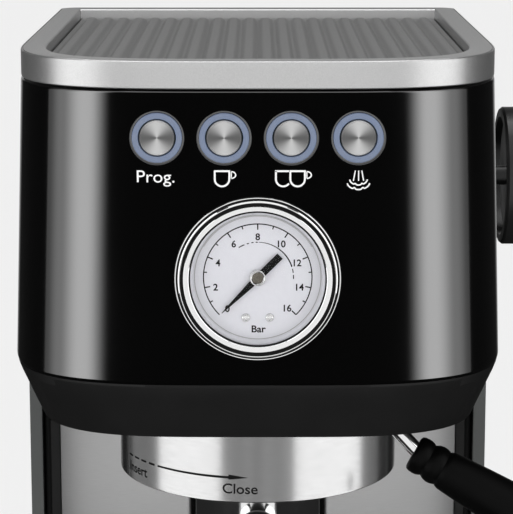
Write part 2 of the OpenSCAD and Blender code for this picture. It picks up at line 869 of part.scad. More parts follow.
base_tub();
base_plate();
feet();
screws();
side_panel_left();
side_panel_right();
pillar_trim_left();
pillar_trim_right();
splash_panel();
rear_panel();
head_shell();
head_underside();
top_rim();
cup_plate();
gauge_case();
gauge_bezel();
gauge_dial();
gauge_lens();
light_rings();
trim_rings();
switch_board();
group_collar();
group_head();
group_gasket();
shower_screen();
thermoblock();
pump();
pump_mounts();
solenoid_valve();
flow_meter();
water_hoses();
pressure_pipes();
control_board();
chassis();
tank_dock();
cord_gland();
rocker_frame();
steam_valve();
button_prog();
button_single();
button_double();
button_steam();
gauge_needle();
steam_knob();
wand_socket();
wand_tube();
wand_grip();
wand_tip();
drip_tray();
tray_front();
drip_grid();
tray_float();
water_tank();
tank_lid();
tank_valve();
power_rocker();
portafilter_body();
portafilter_handle();
portafilter_spout();
filter_basket();
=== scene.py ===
"""Looks of the espresso machine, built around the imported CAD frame. Metres, +Z up, the front at -Y."""
import json
import math

import bmesh
import bpy
from mathutils import Matrix, Vector


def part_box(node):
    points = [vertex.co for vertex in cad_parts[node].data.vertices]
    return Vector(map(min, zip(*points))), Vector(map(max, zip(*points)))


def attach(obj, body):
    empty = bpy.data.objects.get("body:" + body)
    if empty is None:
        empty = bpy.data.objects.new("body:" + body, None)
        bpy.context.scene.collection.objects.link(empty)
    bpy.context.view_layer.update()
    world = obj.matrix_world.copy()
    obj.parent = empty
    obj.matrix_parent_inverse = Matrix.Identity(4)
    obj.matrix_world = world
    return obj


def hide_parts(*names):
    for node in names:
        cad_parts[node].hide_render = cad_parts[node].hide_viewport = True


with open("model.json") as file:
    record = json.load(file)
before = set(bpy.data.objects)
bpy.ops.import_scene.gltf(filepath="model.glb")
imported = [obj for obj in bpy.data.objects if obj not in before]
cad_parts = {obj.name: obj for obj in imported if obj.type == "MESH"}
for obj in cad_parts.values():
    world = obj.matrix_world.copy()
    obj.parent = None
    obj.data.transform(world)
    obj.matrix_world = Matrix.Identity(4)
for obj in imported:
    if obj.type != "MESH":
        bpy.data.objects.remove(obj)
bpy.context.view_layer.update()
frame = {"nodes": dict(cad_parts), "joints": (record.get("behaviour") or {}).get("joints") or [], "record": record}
nodes = frame["nodes"]
slot_of = {s["node"]: s["material_slot"] for s in frame["record"]["subparts"]}
body_of = {n: b for b, ns in frame["record"]["behaviour"]["bodies"].items() for n in ns}
joints = {j["name"]: j for j in frame["joints"]}
MM = 0.001

# ---------------------------------------------------------------- camera, light and floor


def make_camera():
    """A long lens in front of the machine, pitched down, at the height of the eye over a kitchen table."""
    cam = bpy.data.cameras.new("camera")
    cam.sensor_width = 36
    cam.lens = 147.94
    cam.shift_x = -0.0024
    cam.shift_y = -0.06
    cam.clip_start = 0.05
    obj = bpy.data.objects.new("camera", cam)
    obj.location = (0, -0.9805, 0.42076)
    obj.rotation_euler = (math.radians(90 - 10.754), 0, 0)
    bpy.context.scene.collection.objects.link(obj)
    bpy.context.scene.camera = obj


def softbox(name, at, aim, size, glow, spare=(), only=(), ramp=()):
    """Rectangular area light that the camera doesn't see.

    It lights everything but the pieces in spare, or only those in only, which other pieces don't shade.
    ramp gives its strength across its width, as (place, strength) pairs: from the inner edge to the outer
    one for a light at the side, and from left to right for one in the middle."""
    light = bpy.data.lights.new(name, "AREA")
    light.shape = "RECTANGLE"
    light.size, light.size_y = size
    light.energy = glow * math.pi * size[0] * size[1]
    obj = bpy.data.objects.new(name, light)
    obj.location = at
    obj.rotation_euler = (Vector(aim) - Vector(at)).to_track_quat("-Z", "Y").to_euler()
    obj.visible_camera = False
    bpy.context.scene.collection.objects.link(obj)
    link_light(obj, spare, only)
    if ramp:
        if at[0] < 0:
            ramp = [(1 - place, strength) for place, strength in reversed(ramp)]
        shape_light(light, ramp)


def link_light(light, spare=(), only=()):
    if not spare and not only:
        return
    group = bpy.data.collections.new(light.name + "_linked")
    for name in spare or only:
        group.objects.link(bpy.data.objects[name])
    light.light_linking.receiver_collection = group
    if only:
        light.light_linking.blocker_collection = group
    if spare:
        for member in group.collection_objects:
            member.light_linking.link_state = "EXCLUDE"


def set_stops(ramp, stops):
    """Gives a colour ramp its greys, as (place, grey) pairs in order."""
    ends = ramp.elements
    for end, (place, value) in ((ends[1], stops[-1]), (ends[0], stops[0])):
        end.position = place
        end.color = (*grey(value), 1)
    for place, value in stops[1:-1]:
        ramp.elements.new(place).color = (*grey(value), 1)


def shape_light(light, ramp):
    """Gives a softbox a strength that changes across its width."""
    light.use_nodes = True
    n, k = light.node_tree.nodes, light.node_tree.links
    across = n.new("ShaderNodeSeparateXYZ")
    k.new(n.new("ShaderNodeNewGeometry").outputs["Parametric"], across.inputs[0])
    curve = n.new("ShaderNodeValToRGB")
    curve.color_ramp.interpolation = "EASE"
    set_stops(curve.color_ramp, ramp)
    k.new(across.outputs[0], curve.inputs[0])
    k.new(curve.outputs[0], n["Emission"].inputs["Strength"])


def make_lights():
    """Tall softboxes beside the machine, others above and in front, and an even light on the floor.

    The gloss shell, the collar and the splash panel have softboxes of their own, for their streaks and bands."""
    spare = ["gloss_shell", "floor"]
    trims = ["pillar_trim_left_part", "pillar_trim_right_part"]
    bands = {-1: [(0.0, 1.0), (0.57, 1.0), (0.60, 0.13), (1.0, 0.17)],
             1: [(0.0, 1.0), (0.61, 1.0), (0.64, 0.14), (0.85, 0.12), (0.875, 0.0), (1.0, 0.0)]}
    for name, side in (("left", -1), ("right", 1)):
        softbox("key_" + name, (side * 0.62, -0.47, 0.50), (0, -0.1, 0.50), (0.60, 1.1), 1.8,
                spare + trims + ["collar"])
        softbox("streak_" + name, (side * 0.63, -0.45, 0.45), (0, -0.1, 0.45), (0.80, 1.1), 9.5,
                only=["gloss_shell"], ramp=[(0.0, 0.0), (0.27, 1.0), (0.34, 1.0), (0.66, 0.34), (0.95, 0.1)])
        softbox("bands_" + name, (side * 0.69, -0.26, 0.0), (side * 0.045, -0.13, 0.0), (1.6, 1.2), 1.45,
                only=["collar"], ramp=bands[side])
    softbox("rear_band", (-0.47, 0.5, 0.0), (-0.057, -0.06, 0.0), (0.26, 1.2), 0.35, only=["collar"])
    softbox("above", (0, -0.75, 1.25), (0, -0.1, 0.3), (1.1, 0.7), 1.2, spare)
    softbox("overhead", (0, 0.1, 1.5), (0, 0.05, 0.3), (1.1, 0.9), 3.0, spare)
    softbox("front", (0, -1.3, 0.1), (0, -0.1, 0.1), (1.3, 1.9), 1.0, spare + ["collar", "splash_panel_part"])
    softbox("collar_front", (0, -0.9, -0.1), (0, -0.1, -0.1), (0.8, 0.7), 0.36, only=["collar"],
            ramp=[(0.0, 0.9), (0.25, 0.8), (0.35, 1.1), (0.5, 0.75), (0.62, 1.1), (0.8, 0.85), (1.0, 1.0)])
    softbox("crown", (0, -0.6, 1.3), (0, -0.1, 0.3), (1.2, 0.6), 3.0, only=["gloss_shell"])
    softbox("recess", (0, -0.7, -0.1), (0, 0, 0.1), (1.8, 1.0), 0.66, only=["splash_panel_part"])
    even = bpy.data.lights.new("floor_light", "SUN")
    even.energy = 3.2
    even.angle = math.radians(80)
    obj = bpy.data.objects.new("floor_light", even)
    obj.rotation_euler = (math.radians(-12), 0, 0)
    bpy.context.scene.collection.objects.link(obj)
    obj.light_linking.receiver_collection = floor_only = bpy.data.collections.new("floor_only")
    floor_only.objects.link(bpy.data.objects["floor"])


def make_world():
    """Dark round the front and sides and pale behind; the camera sees it as pale as the floor."""
    world = bpy.data.worlds.new("studio")
    bpy.context.scene.world = world
    world.use_nodes = True
    n, k = world.node_tree.nodes, world.node_tree.links
    sep = n.new("ShaderNodeSeparateXYZ")
    k.new(n.new("ShaderNodeTexCoord").outputs["Generated"], sep.inputs[0])
    behind = n.new("ShaderNodeMapRange")
    behind.interpolation_type = "SMOOTHSTEP"
    for socket, value in (("From Min", 0.90), ("From Max", 0.98), ("To Min", 0.02), ("To Max", 0.5)):
        behind.inputs[socket].default_value = value
    k.new(sep.outputs["Y"], behind.inputs["Value"])
    level = n.new("ShaderNodeMix")
    k.new(n.new("ShaderNodeLightPath").outputs["Is Camera Ray"], level.inputs["Factor"])
    k.new(behind.outputs[0], level.inputs["A"])
    level.inputs["B"].default_value = 0.90
    k.new(level.outputs["Result"], n["Background"].inputs["Strength"])
    n["Background"].inputs["Color"].default_value = (*grey(1), 1)


def make_floor():
    mesh = bpy.data.meshes.new("floor")
    s = 9
    mesh.from_pydata([(-s, -s, 0), (s, -s, 0), (s, s, 0), (-s, s, 0)], [], [(0, 1, 2, 3)])
    floor = bpy.data.objects.new("floor", mesh)
    bpy.context.scene.collection.objects.link(floor)
    mat = bpy.data.materials.new("floor")
    mat.use_nodes = True
    b = mat.node_tree.nodes["Principled BSDF"]
    b.inputs["Base Color"].default_value = (0.86, 0.86, 0.86, 1)
    b.inputs["Roughness"].default_value = 0.9
    b.inputs["Specular IOR Level"].default_value = 0.1
    mesh.materials.append(mat)
    floor.visible_glossy = False
    floor.visible_shadow = False


# ---------------------------------------------------------------- materials


def grey(v):
    return (v, v, v)


class Finish:
    """A Principled material and short ways to add noise-driven colour, roughness and relief to it."""

    def __init__(self, name, base, rough=0.5, metal=0.0, **sockets):
        self.name = name
        self.mat = bpy.data.materials.new(name)
        self.mat.use_nodes = True
        self.n = self.mat.node_tree.nodes
        self.k = self.mat.node_tree.links
        self.b = self.n["Principled BSDF"]
        self.base = base
        self.coord = self.n.new("ShaderNodeTexCoord").outputs["Object"]
        self.b.inputs["Base Color"].default_value = (*base, 1)
        self.b.inputs["Roughness"].default_value = rough
        self.b.inputs["Metallic"].default_value = metal
        for key, value in sockets.items():
            self.b.inputs[key.replace("_", " ")].default_value = value
        self.height = None

    def scaled(self, scale):
        m = self.n.new("ShaderNodeMapping")
        m.inputs["Scale"].default_value = scale
        self.k.new(self.coord, m.inputs["Vector"])
        return m.outputs[0]

    def noise(self, scale, detail=3.0, stretch=(1, 1, 1)):
        t = self.n.new("ShaderNodeTexNoise")
        t.inputs["Scale"].default_value = scale
        t.inputs["Detail"].default_value = detail
        self.k.new(self.scaled(stretch), t.inputs["Vector"])
        return t.outputs["Fac"]

    def spread(self, value, low, high):
        m = self.n.new("ShaderNodeMapRange")
        m.inputs["From Min"].default_value = 0.3
        m.inputs["From Max"].default_value = 0.7
        m.inputs["To Min"].default_value = low
        m.inputs["To Max"].default_value = high
        self.k.new(value, m.inputs["Value"])
        return m.outputs[0]

    def vary_rough(self, low, high, scale, stretch=(1, 1, 1)):
        self.k.new(self.spread(self.noise(scale, stretch=stretch), low, high), self.b.inputs["Roughness"])
        return self

    def vary_colour(self, other, scale, stretch=(1, 1, 1), detail=3.0):
        mix = self.n.new("ShaderNodeMix")
        mix.data_type = "RGBA"
        mix.inputs["A"].default_value = (*self.base, 1)
        mix.inputs["B"].default_value = (*other, 1)
        self.k.new(self.spread(self.noise(scale, detail, stretch), 0, 1), mix.inputs["Factor"])
        self.k.new(mix.outputs["Result"], self.b.inputs["Base Color"])
        return self

    def relief(self, scale, depth, stretch=(1, 1, 1)):
        bump = self.n.new("ShaderNodeBump")
        bump.inputs["Distance"].default_value = depth
        bump.inputs["Strength"].default_value = 1.0
        self.k.new(self.noise(scale, 2.0, stretch), bump.inputs["Height"])
        if self.height:
            self.k.new(self.height, bump.inputs["Normal"])
        self.height = bump.outputs[0]
        self.k.new(self.height, self.b.inputs["Normal"])
        return self

    def spun(self, centre, dark, light):
        """Turned metal round a centre on the front: fine rings as relief, and a painted reflection in the base
        colour, dark at the sides and light above and below.
        """
        place = self.n.new("ShaderNodeMapping")
        place.inputs["Rotation"].default_value = (math.radians(-90), 0, 0)
        place.inputs["Location"].default_value = (-centre.x, -centre.z, 0)
        self.k.new(self.coord, place.inputs["Vector"])
        turn = self.n.new("ShaderNodeTexGradient")
        turn.gradient_type = "RADIAL"
        self.k.new(place.outputs[0], turn.inputs["Vector"])
        twice = self.n.new("ShaderNodeMath")
        twice.operation = "MULTIPLY"
        twice.inputs[1].default_value = 4 * math.pi
        self.k.new(turn.outputs["Fac"], twice.inputs[0])
        reflection_lobes = self.n.new("ShaderNodeMath")
        reflection_lobes.operation = "COSINE"
        self.k.new(twice.outputs[0], reflection_lobes.inputs[0])
        # Painted reflection: the base colour runs from the dark grey at the sides to the light grey above and
        # below, in place of reflected light.
        painted_reflection = self.n.new("ShaderNodeMapRange")
        for socket, value in (("From Min", -1), ("From Max", 1), ("To Min", light), ("To Max", dark)):
            painted_reflection.inputs[socket].default_value = value
        self.k.new(reflection_lobes.outputs[0], painted_reflection.inputs["Value"])
        self.k.new(painted_reflection.outputs[0], self.b.inputs["Base Color"])
        rings = self.n.new("ShaderNodeTexWave")
        rings.wave_type = "RINGS"
        rings.rings_direction = "Z"
        rings.inputs["Scale"].default_value = 900
        self.k.new(place.outputs[0], rings.inputs["Vector"])
        bump = self.n.new("ShaderNodeBump")
        bump.inputs["Distance"].default_value = 0.00002
        self.k.new(rings.outputs["Fac"], bump.inputs["Height"])
        self.k.new(bump.outputs[0], self.b.inputs["Normal"])
        return self

    def grain(self, axis, amount):
        """Anisotropic highlight, with its tangent round an axis."""
        self.b.inputs["Anisotropic"].default_value = amount
        t = self.n.new("ShaderNodeTangent")
        t.direction_type = "RADIAL"
        t.axis = axis
        self.k.new(t.outputs[0], self.b.inputs["Tangent"])
        return self


def make_materials():
    m = {}

    def add(finish):
        m[finish.name] = finish.mat

    add(Finish("gloss_black", grey(0.0006), 0.10, Specular_IOR_Level=0.5)
        .vary_rough(0.085, 0.12, 9).relief(420, 0.000002))
    add(Finish("matt_black", grey(0.0065), 0.5, Specular_IOR_Level=0.3)
        .vary_rough(0.42, 0.52, 60).relief(2600, 0.00003))
    add(Finish("satin_silver", grey(0.56), 0.36, 0.9)
        .vary_colour(grey(0.50), 2600, detail=1).vary_rough(0.32, 0.42, 900).relief(3000, 0.00002))
    add(Finish("shelf_grey", grey(0.22), 0.48, 0.4)
        .vary_colour(grey(0.20), 900).relief(2400, 0.00002))
    add(Finish("panel_grey", (0.072, 0.076, 0.074), 0.42, 0.2)
        .vary_rough(0.38, 0.48, 40).relief(2600, 0.00002))
    add(Finish("trim_dark", grey(0.005), 0.65, Specular_IOR_Level=0.12).relief(1800, 0.00002))
    add(Finish("brushed_steel", grey(0.60), 0.36, 0.95)
        .vary_colour(grey(0.56), 160, (1, 1, 30)).vary_rough(0.33, 0.39, 220, (1, 1, 40))
        .relief(300, 0.00001, (0.3, 0.3, 40)))
    add(Finish("collar_steel", grey(0.62), 0.15, 1.0).grain("Z", 0.8)
        .vary_colour(grey(0.54), 160, (1, 1, 14)).vary_rough(0.13, 0.18, 160, (1, 1, 14)))
    add(Finish("spun_steel", (0.66, 0.65, 0.64), 0.22, 1.0).grain("Y", 0.85)
        .vary_rough(0.18, 0.26, 700))
    add(Finish("chrome_dark", grey(0.14), 0.12, 1.0).vary_rough(0.1, 0.16, 60))
    add(Finish("chrome", grey(0.80), 0.07, 1.0).vary_rough(0.05, 0.10, 60))
    add(Finish("pressed_steel", grey(0.60), 0.3, 1.0).vary_rough(0.25, 0.36, 300))
    add(Finish("sheet_steel", grey(0.45), 0.42, 0.9)
        .vary_colour(grey(0.38), 70).vary_rough(0.35, 0.5, 120))
    add(Finish("fastener_steel", grey(0.62), 0.25, 1.0).vary_rough(0.2, 0.3, 800))
    add(Finish("rubber_black", grey(0.0015), 0.5, Specular_IOR_Level=0.07)
        .vary_rough(0.42, 0.55, 90).relief(1500, 0.00003))
    add(Finish("dial_white", (0.79, 0.79, 0.84), 0.55)
        .vary_colour((0.77, 0.77, 0.82), 500).relief(4000, 0.000005))
    add(Finish("needle_black", grey(0.003), 0.4, Specular_IOR_Level=0.1).vary_rough(0.3, 0.4, 900))
    add(Finish("print_black", grey(0.004), 0.5, Specular_IOR_Level=0.1).vary_rough(0.45, 0.55, 900))
    add(Finish("print_white", grey(0.82), 0.5, Specular_IOR_Level=0.2).vary_rough(0.45, 0.55, 900))
    # Grey of the painted shadow lines near the dial's edge.
    add(Finish("painted_shadow_grey", grey(0.42), 0.5).vary_rough(0.45, 0.55, 900))
    add(Finish("hub_brass", (0.12, 0.11, 0.09), 0.35, 0.8).vary_rough(0.25, 0.4, 900))
    add(Finish("light_ring", (0.12, 0.155, 0.24), 0.3, Emission_Color=(0.30, 0.38, 0.58, 1),
               Emission_Strength=0.06).vary_colour((0.14, 0.17, 0.24), 240).relief(900, 0.00001))
    add(Finish("knob_black", grey(0.008), 0.36, Specular_IOR_Level=0.4)
        .vary_rough(0.32, 0.42, 90).relief(2200, 0.00002))
    add(Finish("cast_aluminium", grey(0.48), 0.5, 0.9)
        .vary_rough(0.42, 0.6, 300).relief(900, 0.0001))
    add(Finish("brass", (0.60, 0.43, 0.18), 0.3, 1.0).vary_rough(0.25, 0.38, 400))
    add(Finish("circuit_green", (0.02, 0.13, 0.05), 0.4)
        .vary_colour((0.015, 0.10, 0.04), 500))
    add(Finish("silicone", (0.74, 0.72, 0.67), 0.4, Subsurface_Weight=0.2).vary_rough(0.35, 0.5, 200))
    add(Finish("coil_black", grey(0.014), 0.5).relief(1500, 0.00003))
    add(Finish("pump_white", (0.70, 0.70, 0.66), 0.45).relief(1500, 0.00002))
    add(Finish("float_red", (0.48, 0.02, 0.015), 0.3).vary_rough(0.25, 0.35, 200))
    add(Finish("tank_smoke", (0.30, 0.32, 0.34), 0.06, Transmission_Weight=0.92, IOR=1.49)
        .vary_rough(0.04, 0.09, 50))
    add(Finish("lens_glass", (1, 1, 1), 0.02, Transmission_Weight=1.0, IOR=1.12)
        .vary_rough(0.01, 0.03, 50))
    return m


# ---------------------------------------------------------------- mesh helpers


def piece(name, mesh, material, node=None, slot=None, body=None, smooth=35, bevel=0.0, segments=2):
    """Object from a mesh: its material, its body, the CAD node it stands for, and rounded edges."""
    obj = bpy.data.objects.new(name, mesh)
    bpy.context.scene.collection.objects.link(obj)
    mesh.materials.clear()
    mesh.materials.append(mats[material])
    if bevel:
        mod = obj.modifiers.new("edges", "BEVEL")
        mod.width = bevel
        mod.segments = segments
        mod.limit_method = "ANGLE"
        mod.angle_limit = math.radians(smooth)
        mod.harden_normals = False
        bake_modifiers(obj)
    shade(obj.data, smooth)
    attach(obj, body or body_of[node])
    if node:
        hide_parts(node)
    slot or (slot_of[node] if node else material)
    return obj


def bake_modifiers(obj):
    dg = bpy.context.evaluated_depsgraph_get()
    mesh = bpy.data.meshes.new_from_object(obj.evaluated_get(dg))
    old = obj.data
    obj.modifiers.clear()
    obj.data = mesh
    bpy.data.meshes.remove(old)


def shade(mesh, angle):
    """Smooth shading with edges sharper than an angle kept."""
    bm = bmesh.new()
    bm.from_mesh(mesh)
    bmesh.ops.recalc_face_normals(bm, faces=bm.faces)
    limit = math.radians(angle)
    for e in bm.edges:
        e.smooth = len(e.link_faces) == 2 and e.calc_face_angle(0) < limit
    for f in bm.faces:
        f.smooth = True
    bm.to_mesh(mesh)
    bm.free()


def finish_bm(bm, name):
    bmesh.ops.remove_doubles(bm, verts=bm.verts, dist=1e-7)
    bmesh.ops.recalc_face_normals(bm, faces=bm.faces)
    mesh = bpy.data.meshes.new(name)
    bm.to_mesh(mesh)
    bm.free()
    return mesh


def skin(bm, rows, wrap=False):
    """Faces over rows of points, each row a closed ring of the same count; wrap joins the last to the first."""
    rings = [[bm.verts.new(p) for p in row] for row in rows]
    count = len(rings[0])
    pairs = list(zip(rings, rings[1:]))
    if wrap:
        pairs.append((rings[-1], rings[0]))
    else:
        bm.faces.new(rings[0])
        bm.faces.new(rings[-1])
    for a, b in pairs:
        for i in range(count):
            j = (i + 1) % count
            bm.faces.new((a[i], a[j], b[j], b[i]))


def loft(name, rows, wrap=False):
    bm = bmesh.new()
    skin(bm, rows, wrap)
    return finish_bm(bm, name)


def spin(bm, profile, steps=96, place=None):
    """Adds a closed solid of revolution about Z from (radius, height) points; place: where its axis goes."""
    place = place or Matrix.Identity(4)
    rings = []
    for r, z in profile:
        count = steps if r > 1e-9 else 1
        turn = [2 * math.pi * i / count for i in range(count)]
        rings.append([bm.verts.new(place @ Vector((r * math.cos(a), r * math.sin(a), z))) for a in turn])
    for a, b in zip(rings, rings[1:] + rings[:1]):
        for i in range(steps):
            j = (i + 1) % steps
            if len(a) == len(b) == 1:
                break
            if len(a) == 1:
                bm.faces.new((a[0], b[j], b[i]))
            elif len(b) == 1:
                bm.faces.new((a[i], a[j], b[0]))
            else:
                bm.faces.new((a[i], a[j], b[j], b[i]))


def lathe(name, profile, steps=96, place=None):
    bm = bmesh.new()
    spin(bm, profile, steps, place)
    return finish_bm(bm, name)


def tube_along(bm, points, radius, steps=20):
    """Adds a round bar along a line of points, closed at both ends."""
    points = [Vector(p) for p in points]
    rows = []
    side = None
    for i, p in enumerate(points):
        ahead = (points[min(i + 1, len(points) - 1)] - points[max(i - 1, 0)]).normalized()
        side = (ahead.orthogonal() if side is None else side - ahead * side.dot(ahead)).normalized()
        up = ahead.cross(side)
        turn = [2 * math.pi * k / steps for k in range(steps)]
        rows.append([p + radius * (side * math.cos(a) + up * math.sin(a)) for a in turn])
    skin(bm, rows)


def refined(node, bevel):
    """A copy of a CAD node's mesh with its flat faces joined and its edges rounded, in place of the node."""
    bm = bmesh.new()
    bm.from_mesh(nodes[node].data)
    bmesh.ops.remove_doubles(bm, verts=bm.verts, dist=1e-6)
    bmesh.ops.dissolve_limit(bm, angle_limit=math.radians(0.8), verts=bm.verts, edges=bm.edges)
    mesh = bpy.data.meshes.new(node + "_part")
    bm.to_mesh(mesh)
    bm.free()
    obj = piece(node + "_part", mesh, slot_of[node], node, bevel=bevel, smooth=32)
    flat = obj.modifiers.new("flat", "WEIGHTED_NORMAL")
    flat.keep_sharp = True
    bake_modifiers(obj)
    return obj


def cut(obj, cutters):
    """Takes solids out of a piece and removes them."""
    for c in cutters:
        mod = obj.modifiers.new("cut", "BOOLEAN")
        mod.operation = "DIFFERENCE"
        mod.solver = "EXACT"
        mod.object = c
    bake_modifiers(obj)
    for c in cutters:
        mesh = c.data
        bpy.data.objects.remove(c)
        bpy.data.meshes.remove(mesh)


def cutter(mesh):
    obj = bpy.data.objects.new("cutter", mesh)
    bpy.context.scene.collection.objects.link(obj)
    return obj


# ---------------------------------------------------------------- the machine's outline


PLAN_FLAT, PLAN_BEND, PLAN_POWER = 12 * MM, 80 * MM, 3.26
FRONT = Matrix.Rotation(math.radians(90), 4, "X")


def front_half(half, inset, count=40):
    """From the middle of the front round to the side: flat, then a superellipse."""
    y0 = HEAD["front"] + inset
    pts = []
    for i in range(count + 1):
        t = math.pi / 2 * i / count
        e = 2 / PLAN_POWER
        pts.append((PLAN_FLAT + (half - inset - PLAN_FLAT) * math.sin(t) ** e,
                    y0 + (PLAN_BEND - inset) * (1 - max(0, math.cos(t)) ** e)))
    return pts


def outline(half, inset=0.0, back=None, corner=8 * MM):
    """Closed outline of the machine in plan, from the left side round the front to the right and the back."""
    back = HEAD["back"] - inset if back is None else back
    right = front_half(half, inset)
    x = half - inset
    corner = max(corner - inset, 0.5 * MM)
    arc = [(x - corner + corner * math.cos(math.radians(a)), back - corner + corner * math.sin(math.radians(a)))
           for a in range(0, 91, 15)]
    right += arc
    left = [(-px, py) for px, py in reversed(right)]
    return right + left


def head_half(z):
    """Half-width of the gloss shell at a height: it narrows upwards."""
    t = (z - HEAD["seam"]) / (HEAD["top"] - HEAD["seam"])
    return HEAD["half"] + (HEAD["top_half"] - HEAD["half"]) * t


def face_y(x, z):
    """Depth of the gloss shell's front face at a place on it."""
    u = max(0.0, (abs(x) - PLAN_FLAT) / (head_half(z) - PLAN_FLAT))
    return HEAD["front"] + PLAN_BEND * (1 - (1 - u ** PLAN_POWER) ** (1 / PLAN_POWER))


def skin_normal(co, half, slope):
    """Outward normal of the drafted outline at a point; slope: rise of the normal for each unit sideways."""
    u = min(1.0, max(0.0, (abs(co.x) - PLAN_FLAT) / (half - PLAN_FLAT)))
    v = min(1.0, max(0.0, 1 - (co.y - HEAD["front"]) / PLAN_BEND))
    side = u ** (PLAN_POWER - 1) / (half - PLAN_FLAT)
    n = Vector((math.copysign(side, co.x), -v ** (PLAN_POWER - 1) / PLAN_BEND, slope * u * side))
    return n.normalized()


def set_skin_normals(obj, normal_at, back):
    """Gives the smooth outer faces their true normals, so that holes cut in them leave no ripples."""
    mesh = obj.data
    normals = [Vector(n.vector) for n in mesh.corner_normals]
    for poly in mesh.polygons:
        if poly.center.y < back and poly.normal.dot(normal_at(poly.center)) > 0.985:
            for i in poly.loop_indices:
                normals[i] = normal_at(mesh.vertices[mesh.loops[i].vertex_index].co)
    mesh.normals_split_custom_set(normals)


def ring_rows(levels, back=None, corner=8 * MM):
    """Rows for loft: (height, half-width, inset) for each level."""
    return [[(x, y, z) for x, y in outline(h, i, back, corner)] for z, h, i in levels]


mats = {}
HEAD = {}
WALL = 3 * MM


def measure():
    lo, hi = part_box("head_shell")
    HEAD.update(front=lo.y, back=hi.y, seam=lo.z, top=hi.z, half=hi.x)
    rim_lo, rim_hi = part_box("top_rim")
    HEAD.update(rim_half=rim_hi.x, rim_top=rim_hi.z, top_half=rim_hi.x + 0.1 * MM)
    HEAD.update(under=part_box("head_underside")[0].z)


def middle(node):
    lo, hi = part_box(node)
    return (lo + hi) / 2


def solid_bar(radius, start, end, steps=64):
    """Cutter: a round bar from one point to another."""
    bm = bmesh.new()
    start, end = Vector(start), Vector(end)
    turn = (end - start).to_track_quat("Z", "Y").to_matrix().to_4x4()
    spin(bm, [(0, 0), (radius, 0), (radius, (end - start).length), (0, (end - start).length)], steps,
         Matrix.Translation(start) @ turn)
    return cutter(finish_bm(bm, "cutter"))


def box_mesh(lo, hi):
    bm = bmesh.new()
    skin(bm, [[(lo[0], lo[1], z), (hi[0], lo[1], z), (hi[0], hi[1], z), (lo[0], hi[1], z)]
              for z in (lo[2], hi[2])])
    return finish_bm(bm, "box")


# ---------------------------------------------------------------- head


def make_head_shell():
    """Drafted gloss shell, softly rounded at both edges, with its holes."""
    seam, top = HEAD["seam"], HEAD["top"]
    foot = [(seam, 0.42), (seam + 0.5 * MM, 0.22), (seam + 1.1 * MM, 0.06), (seam + 1.8 * MM, 0.0)]
    body = [(seam + (top - seam) * i / 8, 0.0) for i in range(1, 8)]
    crown = [(top - 1.2 * MM, 0.0), (top - 0.6 * MM, 0.12), (top - 0.2 * MM, 0.45), (top, 1.0)]
    levels = [(z, head_half(z), i * MM) for z, i in foot + body + crown]
    inner = [(top, head_half(top), WALL), (seam, head_half(seam), WALL)]
    shell = piece("gloss_shell", loft("gloss_shell", ring_rows(levels + inner), wrap=True), "gloss_black",
                  "head_shell")
    front, knob = HEAD["front"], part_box("steam_knob")
    cutters = []
    for name in ("button_prog", "button_single", "button_double", "button_steam"):
        c = middle(name)
        cutters.append(solid_bar(10.9 * MM, (c.x, front - 9 * MM, c.z), (c.x, front + 20 * MM, c.z)))
    c = middle("gauge_bezel")
    cutters.append(solid_bar(31.9 * MM, (c.x, front - 9 * MM, c.z), (c.x, front + 20 * MM, c.z), 96))
    c = (knob[0] + knob[1]) / 2
    cutters.append(solid_bar(6 * MM, (HEAD["half"] - 15 * MM, c.y, c.z), (HEAD["half"] + 9 * MM, c.y, c.z)))
    cut(shell, cutters)
    shade(shell.data, 30)
    slope = (HEAD["half"] - HEAD["top_half"]) / (top - seam)
    set_skin_normals(shell, lambda co: skin_normal(co, head_half(co.z), slope), HEAD["back"] - 10 * MM)


def make_underside():
    """Matt band that slopes in under the gloss shell, and the floor of the head with its two holes."""
    seam, under, half = HEAD["seam"] - 0.25 * MM, HEAD["under"], HEAD["half"]
    lo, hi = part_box("head_underside")
    lean = 10.7 / 25
    levels = [(seam, 0.45), (seam - 0.9 * MM, 0.62), (seam - 2 * MM, 1.0)]
    levels += [(seam - d * MM, d * lean) for d in (4, 8, 12, 16, 20, 23.4)]
    levels += [(under + 0.45 * MM, 10.45), (under + 0.12 * MM, 10.75), (under, 11.3)]
    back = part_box("side_panel_left")[0].y - 0.3 * MM
    rows = ring_rows([(z, half, i * MM) for z, i in levels], back, 0)
    obj = piece("matt_band", loft("matt_band", rows), "matt_black", "head_underside")
    inside = ring_rows([(z, half, i * MM) for z, i in ((seam + 5 * MM, 3.4), (under + WALL, 13.2))],
                       back - WALL, 0)
    group, wand = middle("group_collar"), Vector(joints["wand_turn"]["pos_m"])
    deck = piece("head_floor", box_mesh((-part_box("splash_panel")[1].x, back - 1.5 * MM, under),
                                        (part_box("splash_panel")[1].x, hi.y, under + WALL)), "matt_black",
                 slot="matt_black", body="root")
    holes = [(46 * MM, group), (9.6 * MM, wand)]
    for part in (obj, deck):
        cutters = [solid_bar(r, (c.x, c.y, under - 5 * MM), (c.x, c.y, under + 12 * MM), 96) for r, c in holes]
        cut(part, cutters + ([cutter(loft("inside", inside))] if part is obj else []))
        shade(part.data, 30)
    set_skin_normals(obj, lambda co: skin_normal(co, half, -lean), back - 0.5 * MM)


